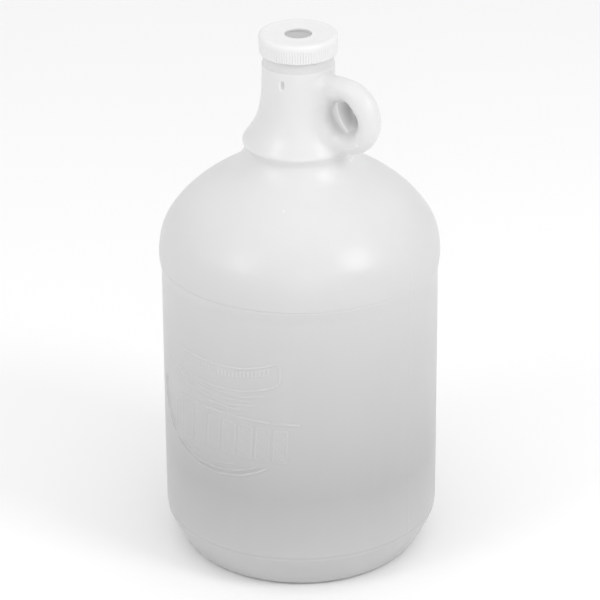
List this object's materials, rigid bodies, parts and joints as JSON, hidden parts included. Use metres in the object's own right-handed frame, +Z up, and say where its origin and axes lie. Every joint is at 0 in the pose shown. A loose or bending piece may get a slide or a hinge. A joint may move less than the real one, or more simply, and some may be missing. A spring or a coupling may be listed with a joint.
{
  "type": "detergent dispenser jug",
  "caption": "Round one-gallon translucent plastic jug with domed shoulder, moulded finger ring and a ribbed screw cap with a central hole for a dispensing tube.",
  "frame": {"origin": "on the jug's axis, in the plane it stands on", "axes": "+Z up along the jug's axis through the neck; +X through the finger ring"},
  "size_m": [0.1568, 0.1568, 0.3069],
  "materials": {
    "jug_natural": "satin natural polyethylene, slightly translucent",
    "cap_white": "satin white polypropylene",
    "liner_foam": "matte closed-cell foam"
  },
  "bodies": {
    "jug": {"jug": "jug_natural"},
    "liner": {"cap_liner": "liner_foam"},
    "cap": {"screw_cap": "cap_white"}
  },
  "joints": [
    {"name": "cap_lift", "type": "slide", "parent": "jug", "child": "liner", "axis": [0, 0, 1], "range_m": [0, 0.00955]},
    {"name": "cap_unscrew", "type": "hinge", "parent": "liner", "child": "cap", "pos_m": [0, 0, 0.3], "axis": [0, 0, 1], "range_deg": [0, 810]}
  ],
  "couplings": [
    {"joint": "cap_lift", "follows": "cap_unscrew", "m_per_rad": 0.0006737}
  ]
}
